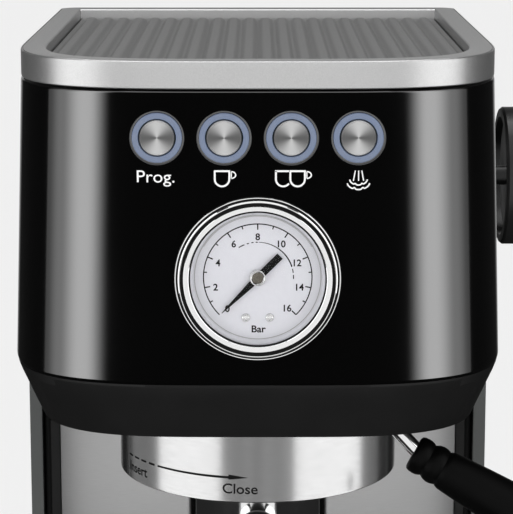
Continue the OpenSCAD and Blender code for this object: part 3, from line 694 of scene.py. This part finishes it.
def make_rim():
    """Satin metal rim: a bright front face, a fine crease along its top edge and a flat bar round the shelf."""
    half, top = HEAD["rim_half"], HEAD["rim_top"]
    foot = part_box("top_rim")[0].z + 7 * MM
    section = [(foot, 0.7), (foot + 0.15 * MM, 0.2), (foot + 0.5 * MM, 0.0)]
    section += [(foot + (top - foot) * i / 4, 0.0) for i in (1, 2, 3)]
    section += [(top - 0.7 * MM, 0.0), (top - 0.35 * MM, 0.1), (top - 0.1 * MM, 0.35), (top - 0.1 * MM, 0.55),
                (top - 0.45 * MM, 0.75), (top - 0.45 * MM, 0.95), (top - 0.02 * MM, 1.15), (top, 1.5)]
    section += [(top, 9.4), (top - 0.15 * MM, 10.0), (top - 0.6 * MM, 10.35), (top - 1.2 * MM, 10.4),
                (top - 9.0 * MM, 10.4), (top - 9.0 * MM, 17.0), (foot, 17.0)]
    rows = ring_rows([(z, half, i * MM) for z, i in section])
    piece("rim", loft("rim", rows, wrap=True), "satin_silver", "top_rim", smooth=28)


def make_shelf():
    """Cup shelf pressed into soft ribs that run front to back and die out before its edge."""
    lo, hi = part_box("cup_plate")
    half, inset = HEAD["rim_half"], 10.9 * MM
    base = lo.z + 4.0 * MM
    pitch, count, rise = 7.8 * MM, 22, 1.9 * MM
    front = front_half(half, inset, 160)
    back = HEAD["back"] - inset

    def front_y(x):
        x = abs(x)
        for (xa, ya), (xb, yb) in zip(front, front[1:]):
            if xa <= x <= xb:
                return ya + (yb - ya) * (x - xa) / max(xb - xa, 1e-9)
        return front[0][1] if x < front[0][0] else front[-1][1]

    def rib(x, y):
        n = x / pitch + count / 2
        if not 0 <= n < count:
            return 0.0
        lobe = 0.5 - 0.5 * math.cos(2 * math.pi * (n % 1))
        near = (y - front_y(x) - 5 * MM) / (5 * MM)
        far = (back - 9 * MM - y) / (5 * MM)
        fade = min(1, max(0, near)) * min(1, max(0, far))
        return rise * min(1, lobe * 1.6) ** 0.8 * fade * fade * (3 - 2 * fade)

    bm = bmesh.new()
    columns, rows = count * 12, 46
    edge = half - inset - 0.4 * MM
    top, bottom = [], []
    for i in range(columns + 1):
        x = -edge + 2 * edge * i / columns
        y0, y1 = front_y(x) + 0.1 * MM, back
        ys = [y0 + (y1 - y0) * (0.5 - 0.5 * math.cos(math.pi * j / rows)) for j in range(rows + 1)]
        top.append([bm.verts.new((x, y, base + rib(x, y))) for y in ys])
        bottom.append([bm.verts.new((x, y, lo.z)) for y in (y0, y1)])
    for a, b in zip(top, top[1:]):
        for j in range(rows):
            bm.faces.new((a[j], b[j], b[j + 1], a[j + 1]))
    for i in range(columns):
        a, b, ta, tb = bottom[i], bottom[i + 1], top[i], top[i + 1]
        bm.faces.new((a[0], a[1], b[1], b[0]))
        bm.faces.new((ta[0], a[0], b[0], tb[0]))
        bm.faces.new((ta[-1], tb[-1], b[1], a[1]))
    bm.faces.new([*top[0], bottom[0][1], bottom[0][0]])
    bm.faces.new([*reversed(top[-1]), bottom[-1][0], bottom[-1][1]])
    piece("cup_shelf", finish_bm(bm, "cup_shelf"), "shelf_grey", "cup_plate", smooth=50)


# ---------------------------------------------------------------- printed marks


INK = 0.04 * MM


def ribbon(bm, points, width):
    """Adds a flat line along points in the plane, for print and for the painted shadow lines on the dial; width:
    one number, or one for each point.
    """
    points = [Vector((*p, 0)) for p in points]
    widths = width if isinstance(width, list) else [width] * len(points)
    rows = []
    for i, p in enumerate(points):
        ahead = (points[min(i + 1, len(points) - 1)] - points[max(i - 1, 0)]).normalized()
        side = Vector((-ahead.y, ahead.x, 0)) * widths[i] / 2
        up = Vector((0, 0, INK))
        rows.append([p + side, p - side, p - side + up, p + side + up])
    skin(bm, rows)


def arc(radius, start, end, steps=None):
    """Points on a circle, angles in degrees."""
    steps = steps or max(2, int(abs(end - start) / 4))
    turn = [math.radians(start + (end - start) * i / steps) for i in range(steps + 1)]
    return [(radius * math.cos(a), radius * math.sin(a)) for a in turn]


def lettering(bm, text, height, at=(0, 0), bold=0.0, wide=1.0):
    """Adds words or numbers with capitals of a height, centred on a point."""
    meshes = []
    for body in ("H", text):
        curve = bpy.data.curves.new("text", "FONT")
        curve.body = body
        curve.align_x, curve.align_y = "CENTER", "CENTER"
        curve.extrude = 0.01
        curve.offset = bold
        curve.resolution_u = 4
        obj = bpy.data.objects.new("text", curve)
        bpy.context.scene.collection.objects.link(obj)
        dg = bpy.context.evaluated_depsgraph_get()
        meshes.append(bpy.data.meshes.new_from_object(obj.evaluated_get(dg)))
        bpy.data.objects.remove(obj)
        bpy.data.curves.remove(curve)
    tall = max(v.co.y for v in meshes[0].vertices) - min(v.co.y for v in meshes[0].vertices)
    mesh, scale = meshes[1], height / tall
    xs = [v.co.x for v in mesh.vertices]
    middle_y = sum(v.co.y for v in meshes[0].vertices) / len(meshes[0].vertices)
    shift = Vector((-(min(xs) + max(xs)) / 2, -middle_y, 0.01))
    for v in mesh.vertices:
        co = (v.co + shift) * scale
        v.co = (co.x * wide + at[0], co.y + at[1], INK * (v.co.z + 0.01) / 0.02)
    bm.from_mesh(mesh)
    for m in meshes:
        bpy.data.meshes.remove(m)


def printed(name, bm, material, slot, mapper, split=None):
    """A mark drawn flat, then laid on a surface by mapper; used for print and for the painted shadow lines on the
    dial.
    """
    if split:
        long_edges = [e for e in bm.edges if e.calc_length() > split]
        bmesh.ops.subdivide_edges(bm, edges=long_edges, cuts=3, use_grid_fill=False)
    for v in bm.verts:
        v.co = mapper(v.co)
    return piece(name, finish_bm(bm, name), material, slot=slot, body="root", smooth=20)


def on_face(at):
    """Lays a mark on the gloss front, centred at (x, z)."""
    return lambda co: Vector((at[0] + co.x, face_y(at[0] + co.x, at[1] + co.y) - co.z + 0.01 * MM, at[1] + co.y))


def cup_outline(x, wide=5.75, tall=6.1, last=True):
    """Flat-topped cup from its top left corner round the bowl, centred at x; open if another hides its side."""
    r = wide / 2
    end = 360 if last else 322
    bowl = [(x + px, -tall / 2 + r + py) for px, py in arc(r, 180, end, 16)]
    return [(x - r, tall / 2), *bowl] + ([(x + r, tall / 2)] if last else [])


def steam_wave(half, end, depth, notch):
    """Cloud line: an arc with two small peaks."""
    points = []
    for i in range(49):
        u = i / 24 - 1
        peaks = notch * math.exp(-((abs(u) - 0.38) / 0.1) ** 2)
        points.append((0.1 + half * u, end - depth * (1 - u * u) ** 0.55 + peaks))
    return points


def make_labels():
    """White marks under the four buttons: a word, one cup, two cups and steam."""
    line = 0.72 * MM
    z = middle("button_prog").z - 16.2 * MM

    def to_mm(points):
        return [(x * MM, y * MM) for x, y in points]

    bm = bmesh.new()
    lettering(bm, "Prog.", 4.75 * MM, wide=1.08)
    printed("label_prog", bm, "print_white", "dial_white",
            on_face((middle("button_prog").x - 0.6 * MM, z + 0.8 * MM)), 3 * MM)
    for name, node, cups in (("label_single", "button_single", (-0.85,)),
                             ("label_double", "button_double", (-3.2, 2.5))):
        bm = bmesh.new()
        for x in cups:
            last = x == cups[-1]
            ribbon(bm, to_mm([(x - 3.2, 3.05), (x + (3.2 if last else 2.3), 3.05)]), line)
            ribbon(bm, to_mm(cup_outline(x, last=last)), line)
        x = cups[-1] + 3.65
        ribbon(bm, to_mm([(x, 2.9), (x, 0.1)]), line * 0.6)
        ribbon(bm, to_mm([(x + px * 1.75, 1.5 + py * 1.35) for px, py in arc(1, 90, -90, 12)]), line * 0.7)
        printed(name, bm, "print_white", "dial_white", on_face((middle(node).x, z)))
    bm = bmesh.new()
    for top, foot in ((-1.2, -1.95), (0.1, 0.1), (1.35, 2.1)):
        ribbon(bm, to_mm([(top, 3.2), (foot, -0.9)]), line * 0.62)
    for wave in (steam_wave(3.5, -0.4, 2.2, 0.5), steam_wave(4.4, -1.9, 2.5, 0.6)):
        ribbon(bm, to_mm(wave), line * 0.75)
    printed("label_steam", bm, "print_white", "dial_white", on_face((middle("button_steam").x, z)))


# ---------------------------------------------------------------- gauge


def gauge_place():
    c = middle("gauge_bezel")
    return Matrix.Translation((c.x, HEAD["front"], c.z)) @ FRONT


def make_gauge():
    """Chromed bezel with a dark ring in its groove as painted reflection, white dial with its screws and a dark
    ring at the bezel lip as painted shadow, and the lens.
    """
    place = gauge_place()

    def turned(name, points, material, node=None, steps=160):
        profile = [(r * MM, z * MM) for r, z in points]
        return piece(name, lathe(name, profile, steps, place), material, node, slot=None if node else material,
                     body="root", smooth=24)

    bezel = [(31.8, -9), (31.8, 0.1), (32.6, 0.1), (32.6, 0.75), (32.7, 0.95), (33.0, 0.95), (33.15, 0.75),
             (33.15, 0.05), (32.4, 0.05), (32.35, 0.3), (31.95, 0.3), (31.95, 1.6), (31.8, 2.05), (31.5, 2.3),
             (31.2, 2.35), (31.1, 2.1), (31.05, 1.2), (29.75, 1.2), (29.7, 2.15), (29.55, 2.3), (29.2, 2.3),
             (27.8, 2.0), (27.6, 1.85), (27.5, 1.6), (27.45, 0.75), (30.2, 0.7), (30.2, -9)]
    turned("gauge_ring", bezel, "chrome", "gauge_bezel")
    # Dark ring in the bezel's groove: a painted dark reflection where the chrome groove shows dark.
    turned("gauge_groove", [(29.78, 1.1), (31.0, 1.1), (31.0, 1.95), (30.4, 1.8), (29.78, 1.95)], "trim_dark")
    turned("gauge_gap", [(31.97, 0.0), (32.95, 0.0), (32.95, 0.75), (31.97, 0.75)], "trim_dark")
    lo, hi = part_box("gauge_dial")
    face = (HEAD["front"] - lo.y) / MM
    dial = [(0, face - 0.8), (29.85, face - 0.8), (29.9, face - 0.7), (29.9, face + 0.9), (27.3, face + 0.9),
            (27.15, face + 0.8), (26.5, face + 0.4), (26.2, face + 0.1), (26.0, face), (0, face)]
    turned("dial", dial, "dial_white", "gauge_dial")
    # Dark ring on the dial just inside the bezel lip: painted shadow of the lip.
    turned("dial_gap", [(26.95, 0.6), (27.44, 0.6), (27.44, 1.0), (26.95, 0.9)], "trim_dark")
    make_scale(place @ Matrix.Translation((0, 0, face * MM + 0.01 * MM)))
    make_needle(place)
    screw = [(0, 0), (1.7, 0), (1.7, 0.35), (1.6, 0.5), (1.35, 0.72), (0.9, 0.85), (0.45, 0.88), (0.4, 0.6),
             (0, 0.6)]
    for name, sign in (("dial_screw_left", -1), ("dial_screw_right", 1)):
        at = place @ Matrix.Translation((sign * 4.8 * MM, -16.5 * MM, face * MM))
        piece(name, lathe(name, [(r * MM, z * MM) for r, z in screw], 32, at), "fastener_steel",
              slot="fastener_steel", body="root", smooth=30)
    lens = [(0, -0.45), (29.9, -0.45), (29.95, -0.4), (29.95, 0.35), (27, 0.42), (0, 0.55)]
    piece("lens", lathe("lens", [(r * MM, z * MM) for r, z in lens], 128, place), "lens_glass", "gauge_lens")


def make_scale(place):
    """Printed scale of the gauge: 0 to 16 round three quarters of a circle, and the working range's arc; then grey
    lines of painted shadow near the dial's edge.
    """
    start, step = 225, 270 / 16
    rim = 21.7 * MM
    bm = bmesh.new()
    ribbon(bm, arc(rim, start, start - 270, 120), 0.46 * MM)
    for n in range(17):
        a = math.radians(start - n * step)
        long = n % 2 == 0
        inner = rim - (2.3 if long else 1.3) * MM
        if n:
            ribbon(bm, [(rim * math.cos(a), rim * math.sin(a)), (inner * math.cos(a), inner * math.sin(a))],
                   (0.5 if long else 0.46) * MM)
        if long:
            r = 17.2 * MM if n < 16 else 16.9 * MM
            lettering(bm, str(n), 2.8 * MM, (r * math.cos(a), r * math.sin(a) - 0.7 * MM), bold=0.022)
    r = 14.3 * MM

    def at(n):
        return start - n * step

    ribbon(bm, arc(r, at(8.1), at(12.3), 24), [(0.22 + 0.3 * min(1, i / 18)) * MM for i in range(25)])
    for a, b in ((6.1, 6.7), (6.95, 7.15), (7.4, 7.6), (7.8, 8.0), (12.5, 12.9), (13.1, 13.5)):
        ribbon(bm, arc(r, at(a), at(b), 4), 0.4 * MM)
    lettering(bm, "Bar", 2.9 * MM, (0.4 * MM, -21.2 * MM), bold=0.022, wide=1.05)
    printed("scale", bm, "print_black", "needle_black", lambda co: place @ co)
    # Grey ring near the dial's edge and a short arc along its top: painted shadow of the step under the bezel, not
    # print.
    bm = bmesh.new()
    ribbon(bm, arc(25.3 * MM, 0, 360, 160), 0.3 * MM)
    ribbon(bm, arc(24.9 * MM, 30, 150, 60), 0.22 * MM)
    printed("dial_line", bm, "painted_shadow_grey", "dial_white", lambda co: place @ co)


def make_needle(place):
    """Tapered pointer with a broad tail and its brass hub; it rests on zero."""
    turn = place @ Matrix.Rotation(math.radians(225), 4, "Z")
    bm = bmesh.new()
    low, high = -2.25 * MM, -1.65 * MM
    half = [(20.4, 0.12), (12.0, 0.75), (3.0, 1.35), (-3.0, 1.5), (-12.6, 1.5)]
    outline_points = half + [(x, -y) for x, y in reversed(half)]
    skin(bm, [[turn @ Vector((x * MM, y * MM, z)) for x, y in outline_points] for z in (low, high)])
    piece("pointer", finish_bm(bm, "pointer"), "needle_black", "gauge_needle", bevel=0.12 * MM)
    hub = [(0, -3.2), (3.3, -3.2), (3.3, -1.75), (3.15, -1.5), (2.8, -1.4), (2.6, -1.5), (2.55, -1.9),
           (0, -1.9)]
    pin = [(0, -1.95), (2.3, -1.95), (2.3, -1.4), (2.0, -1.22), (0.8, -1.2), (0.6, -1.35), (0, -1.35)]
    for name, profile, material in (("pointer_hub", hub, "fastener_steel"), ("pointer_pin", pin, "hub_brass")):
        piece(name, lathe(name, [(r * MM, z * MM) for r, z in profile], 48, turn), material,
              slot="fastener_steel" if profile is hub else "brass", body="needle", smooth=30)


# ---------------------------------------------------------------- buttons


def make_buttons():
    """Spun caps with a painted reflection in their colour and a bright edge, each in a lit ring and a thin trim
    ring.
    """
    cap = [(0, -3.2), (7.0, -3.2), (7.05, -0.25), (7.0, 0.05), (6.8, 0.3), (6.55, 0.38), (6.4, 0.3), (0, 0.12)]
    lit = [(7.5, -5.8), (9.95, -5.8), (9.95, 0.0), (9.7, 0.25), (9.4, 0.3), (8.0, 0.3), (7.7, 0.25), (7.5, 0.0)]
    trim = [(10.1, -2.5), (10.84, -2.5), (10.84, 0.3), (10.78, 0.38), (10.68, 0.38), (10.62, 0.3), (10.6, -1.2),
            (10.1, -1.2)]
    lit_bm, trim_bm = bmesh.new(), bmesh.new()
    for name in ("button_prog", "button_single", "button_double", "button_steam"):
        c, lo = middle(name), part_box(name)[0]
        place = Matrix.Translation((c.x, lo.y + 0.4 * MM, c.z)) @ FRONT
        stem = [(0, -5.0), (3.0, -5.0), (3.0, -3.2)]
        profile = [(r * MM, z * MM) for r, z in stem + cap[1:]]
        # Each cap's colour holds a painted reflection, dark at the two sides and light at the top and bottom; its
        # fine rings are relief.
        mats[name] = Finish(name + "_spun", grey(0.5), 0.36, 0.5).spun(c, dark=0.1, light=0.5).grain("Y", 0.5).mat
        piece(name + "_cap", lathe(name + "_cap", profile, 96, place), name, name, smooth=20)
        spin(lit_bm, [(r * MM, z * MM) for r, z in lit], 96, place)
        spin(trim_bm, [(r * MM, z * MM) for r, z in trim], 96, place)
    piece("lit_rings", finish_bm(lit_bm, "lit_rings"), "light_ring", "light_rings", smooth=28)
    piece("button_trims", finish_bm(trim_bm, "button_trims"), "chrome_dark", "trim_rings", smooth=28)


# ---------------------------------------------------------------- group


def make_collar():
    """Brushed collar round the group, with its printed direction marks."""
    lo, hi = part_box("group_collar")
    c = (lo + hi) / 2
    r, drop = (hi.x - lo.x) / 2 / MM, (hi.z - lo.z) / MM
    wall = 1.5
    profile = [(r - wall, 0), (r - wall, -drop + 0.3), (r - wall + 0.3, -drop), (r - 0.7, -drop),
               (r - 0.3, -drop + 0.12), (r - 0.08, -drop + 0.35), (r, -drop + 0.7), (r, -drop + 0.95),
               *[(r, -drop * i / 6) for i in range(5, 0, -1)], (r, 0)]
    place = Matrix.Translation((c.x, c.y, hi.z))
    obj = piece("collar", lathe("collar", [(a * MM, b * MM) for a, b in profile], 192, place), "collar_steel",
                "group_collar", smooth=30)
    radius = r * MM

    def on_collar(azimuth, z):
        def mapper(co):
            a = math.radians(azimuth) + co.x / radius
            out = radius + co.z + 0.01 * MM
            return Vector((c.x + out * math.sin(a), c.y - out * math.cos(a), z + co.y))
        return mapper

    foot = lo.z + 6.1 * MM
    for name, text, azimuth in (("mark_insert", "Insert", -58), ("mark_close", "Close", -7)):
        bm = bmesh.new()
        lettering(bm, text, 4.3 * MM, bold=0.012, wide=1.06)
        printed(name, bm, "print_black", "needle_black", on_collar(azimuth, foot), 1.5 * MM)
    bm = bmesh.new()
    start, tip = math.radians(-67), math.radians(-4)
    length = (tip - start) * radius
    for i in range(4):
        ribbon(bm, [((0.02 + 0.085 * i + 0.055 * k / 4) * length, 0) for k in range(5)], (0.7 + 0.06 * i) * MM)
    body = [(0.36 + 0.58 * k / 24) * length for k in range(25)]
    ribbon(bm, [(x, 0) for x in body], [(0.8 + 0.25 * k / 24) * MM for k in range(25)])
    head = [(0.88 + 0.12 * k / 6) * length for k in range(7)]
    ribbon(bm, [(x, 0.1 * MM) for x in head], [(2.2 * (1 - k / 6) + 0.05) * MM for k in range(7)])
    printed("mark_arrow", bm, "print_black", "needle_black", on_collar(math.degrees(start), lo.z + 10.9 * MM))
    return obj


# ---------------------------------------------------------------- steam wand and knob


NECK, NECK_SLOPE = 27.4 * MM, math.radians(46)
GRIP_SLOPE, WAND = math.radians(27.7), 105 * MM
TUBE, BALL = 3.25 * MM, 4.7 * MM


def wand_frames():
    """Ball centre, the wand's heading in plan, and the frame of the grip, whose +Z runs down the lower tube."""
    ball = Vector(joints["wand_tilt"]["pos_m"])
    axis = Vector(joints["wand_tilt"]["axis"]).normalized()
    heading = Vector((axis.y, -axis.x, 0))
    bend = ball + NECK * (heading * math.cos(NECK_SLOPE) - Vector((0, 0, math.sin(NECK_SLOPE))))
    along = heading * math.cos(GRIP_SLOPE) - Vector((0, 0, math.sin(GRIP_SLOPE)))
    side = Vector((0, 0, 1)).cross(along).normalized()
    down = side.cross(along)
    frame_at = Matrix((down, side, along)).transposed().to_4x4()
    frame_at.translation = bend
    return ball, heading, frame_at


def make_wand():
    ball, heading, grip = wand_frames()
    neck = heading * math.cos(NECK_SLOPE) - Vector((0, 0, math.sin(NECK_SLOPE)))
    along = grip.to_3x3() @ Vector((0, 0, 1))
    bend = grip.translation
    route = [ball, *[ball + neck * (NECK - 7 * MM) * k / 4 for k in range(1, 5)]]
    for k in range(1, 8):
        t = k / 8
        a, b = bend - neck * 7 * MM, bend + along * 7 * MM
        route.append(a * (1 - t) ** 2 + bend * 2 * t * (1 - t) + b * t ** 2)
    route += [bend + along * (7 * MM + (WAND - 7 * MM) * k / 6) for k in range(7)]
    bm = bmesh.new()
    tube_along(bm, route, TUBE, 32)
    globe = [(BALL * math.sin(math.pi * k / 24), -BALL * math.cos(math.pi * k / 24)) for k in range(25)]
    spin(bm, globe, 40, Matrix.Translation(ball))
    piece("steam_tube", finish_bm(bm, "steam_tube"), "chrome", "wand_tube", smooth=40)
    rubber = [(3.3, -4.2), (6.4, -4.2), (7.4, -3.7), (7.9, -2.5), (8.05, -0.8), (7.9, 0.9), (7.45, 2.1),
              (7.05, 2.7), (7.35, 3.3), (8.0, 4.4), (8.35, 6.1), (8.25, 7.9), (7.85, 9.1), (7.6, 9.6),
              (8.1, 10.3), (8.6, 11.8), (9.0, 17), (9.6, 26), (10.1, 35), (10.5, 44), (10.6, 50.2),
              (10.4, 51.8), (9.9, 53.0), (9.0, 53.4), (3.3, 53.4)]
    bm = bmesh.new()
    spin(bm, [(r * MM, z * MM) for r, z in rubber], 64, grip)
    piece("rubber_grip", finish_bm(bm, "rubber_grip"), "rubber_black", "wand_grip", smooth=50)
    fin = [(-6.5, 31), (-8.7, 38), (-11.5, 42.3), (-16, 43.9), (-21.6, 44.1), (-22.4, 45.0), (-22.5, 46.6),
           (-21.8, 47.8), (-16, 48.4), (-11.5, 50.0), (-8.5, 52.4), (-6.0, 52.6)]
    bm = bmesh.new()
    skin(bm, [[grip @ Vector((x * MM, y * MM, z * MM)) for x, z in fin] for y in (-5.4, 5.4)])
    piece("grip_tab", finish_bm(bm, "grip_tab"), "rubber_black", slot="rubber_black", body="wand", smooth=38,
          bevel=1.1 * MM, segments=3)
    tip = [(3.3, WAND / MM - 6), (4.3, WAND / MM - 6), (4.6, WAND / MM - 5.6), (4.6, WAND / MM + 5.6),
           (4.4, WAND / MM + 6.3), (2.7, WAND / MM + 10.6), (2.2, WAND / MM + 11), (0, WAND / MM + 11),
           (0, WAND / MM + 0.5), (3.3, WAND / MM + 0.5)]
    nozzle = piece("steam_tip", lathe("steam_tip", [(r * MM, z * MM) for r, z in tip], 48, grip), "chrome",
                   "wand_tip", smooth=30)
    holes = []
    for k in range(4):
        a = math.pi / 2 * k + math.pi / 4
        out = grip.to_3x3() @ Vector((math.cos(a), math.sin(a), 1.6))
        start = grip @ Vector((0, 0, WAND + 6 * MM))
        holes.append(solid_bar(0.55 * MM, start + out * 1.5 * MM, start + out * 6 * MM, 16))
    cut(nozzle, holes)
    shade(nozzle.data, 30)
    refined("wand_socket", 0.6 * MM)
    for name in ("steam_tube", "rubber_grip", "grip_tab"):
        bpy.data.objects[name].visible_glossy = False


# ---------------------------------------------------------------- the rest of the machine


def make_portafilter():
    """Chromed holder and spouts, and a handle turned with a collar, a waist and a round end."""
    lo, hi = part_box("portafilter_handle")
    c = (lo + hi) / 2
    length, r = (hi.y - lo.y) / MM, (hi.x - lo.x) / 2 / MM
    place = Matrix.Translation((c.x, hi.y, c.z)) @ FRONT
    shape = [(0, 0.0), (8.6, 0.0), (9.6, 0.6), (9.9, 2.0), (9.9, 5.5), (9.3, 6.6), (9.2, 7.4), (9.8, 8.4)]
    shape += [(9.8 + (r - 9.9) * (0.5 - 0.5 * math.cos(math.pi * k / 12)), 8.4 + (length - 22) * k / 12)
              for k in range(1, 13)]
    cap = length - 13.6
    shape += [((r - 0.1) * math.cos(math.pi / 2 * k / 10), cap + 13.4 * math.sin(math.pi / 2 * k / 10))
              for k in range(1, 10)]
    shape += [(0, length - 0.2)]
    handle = piece("handle", lathe("handle", [(a * MM, z * MM) for a, z in shape], 72, place), "knob_black",
                   "portafilter_handle", smooth=35)
    handle.visible_glossy = False
    refined("portafilter_body", 0.5 * MM)
    refined("portafilter_spout", 0.3 * MM)
    refined("filter_basket", 0.15 * MM)


def make_body():
    """Edges of the panels, the base, the tray, the tank and the small outside parts."""
    for node, edge in (("side_panel_left", 0.7), ("side_panel_right", 0.7), ("pillar_trim_left", 0.4),
                       ("pillar_trim_right", 0.4), ("splash_panel", 0.3), ("rear_panel", 0.4), ("base_tub", 1.2),
                       ("base_plate", 0.6), ("feet", 1.0), ("drip_tray", 0.6), ("tray_front", 1.0),
                       ("drip_grid", 0.25), ("tray_float", 0.6), ("water_tank", 0.5), ("tank_lid", 0.7),
                       ("tank_dock", 0.6), ("cord_gland", 0.5), ("rocker_frame", 0.6), ("power_rocker", 0.5),
                       ("group_head", 0.5), ("group_gasket", 0.3), ("shower_screen", 0.15)):
        refined(node, edge * MM)
    refined("steam_knob", 0.7 * MM).visible_glossy = False


make_camera()
make_world()
make_floor()
mats.update(make_materials())
measure()
for node, obj in nodes.items():
    obj.data.materials.clear()
    obj.data.materials.append(mats[slot_of[node]])
make_head_shell()
make_underside()
make_rim()
make_shelf()
make_labels()
make_gauge()
make_buttons()
make_collar()
make_wand()
make_portafilter()
make_body()
make_lights()
bpy.context.scene.view_settings.view_transform = "Standard"
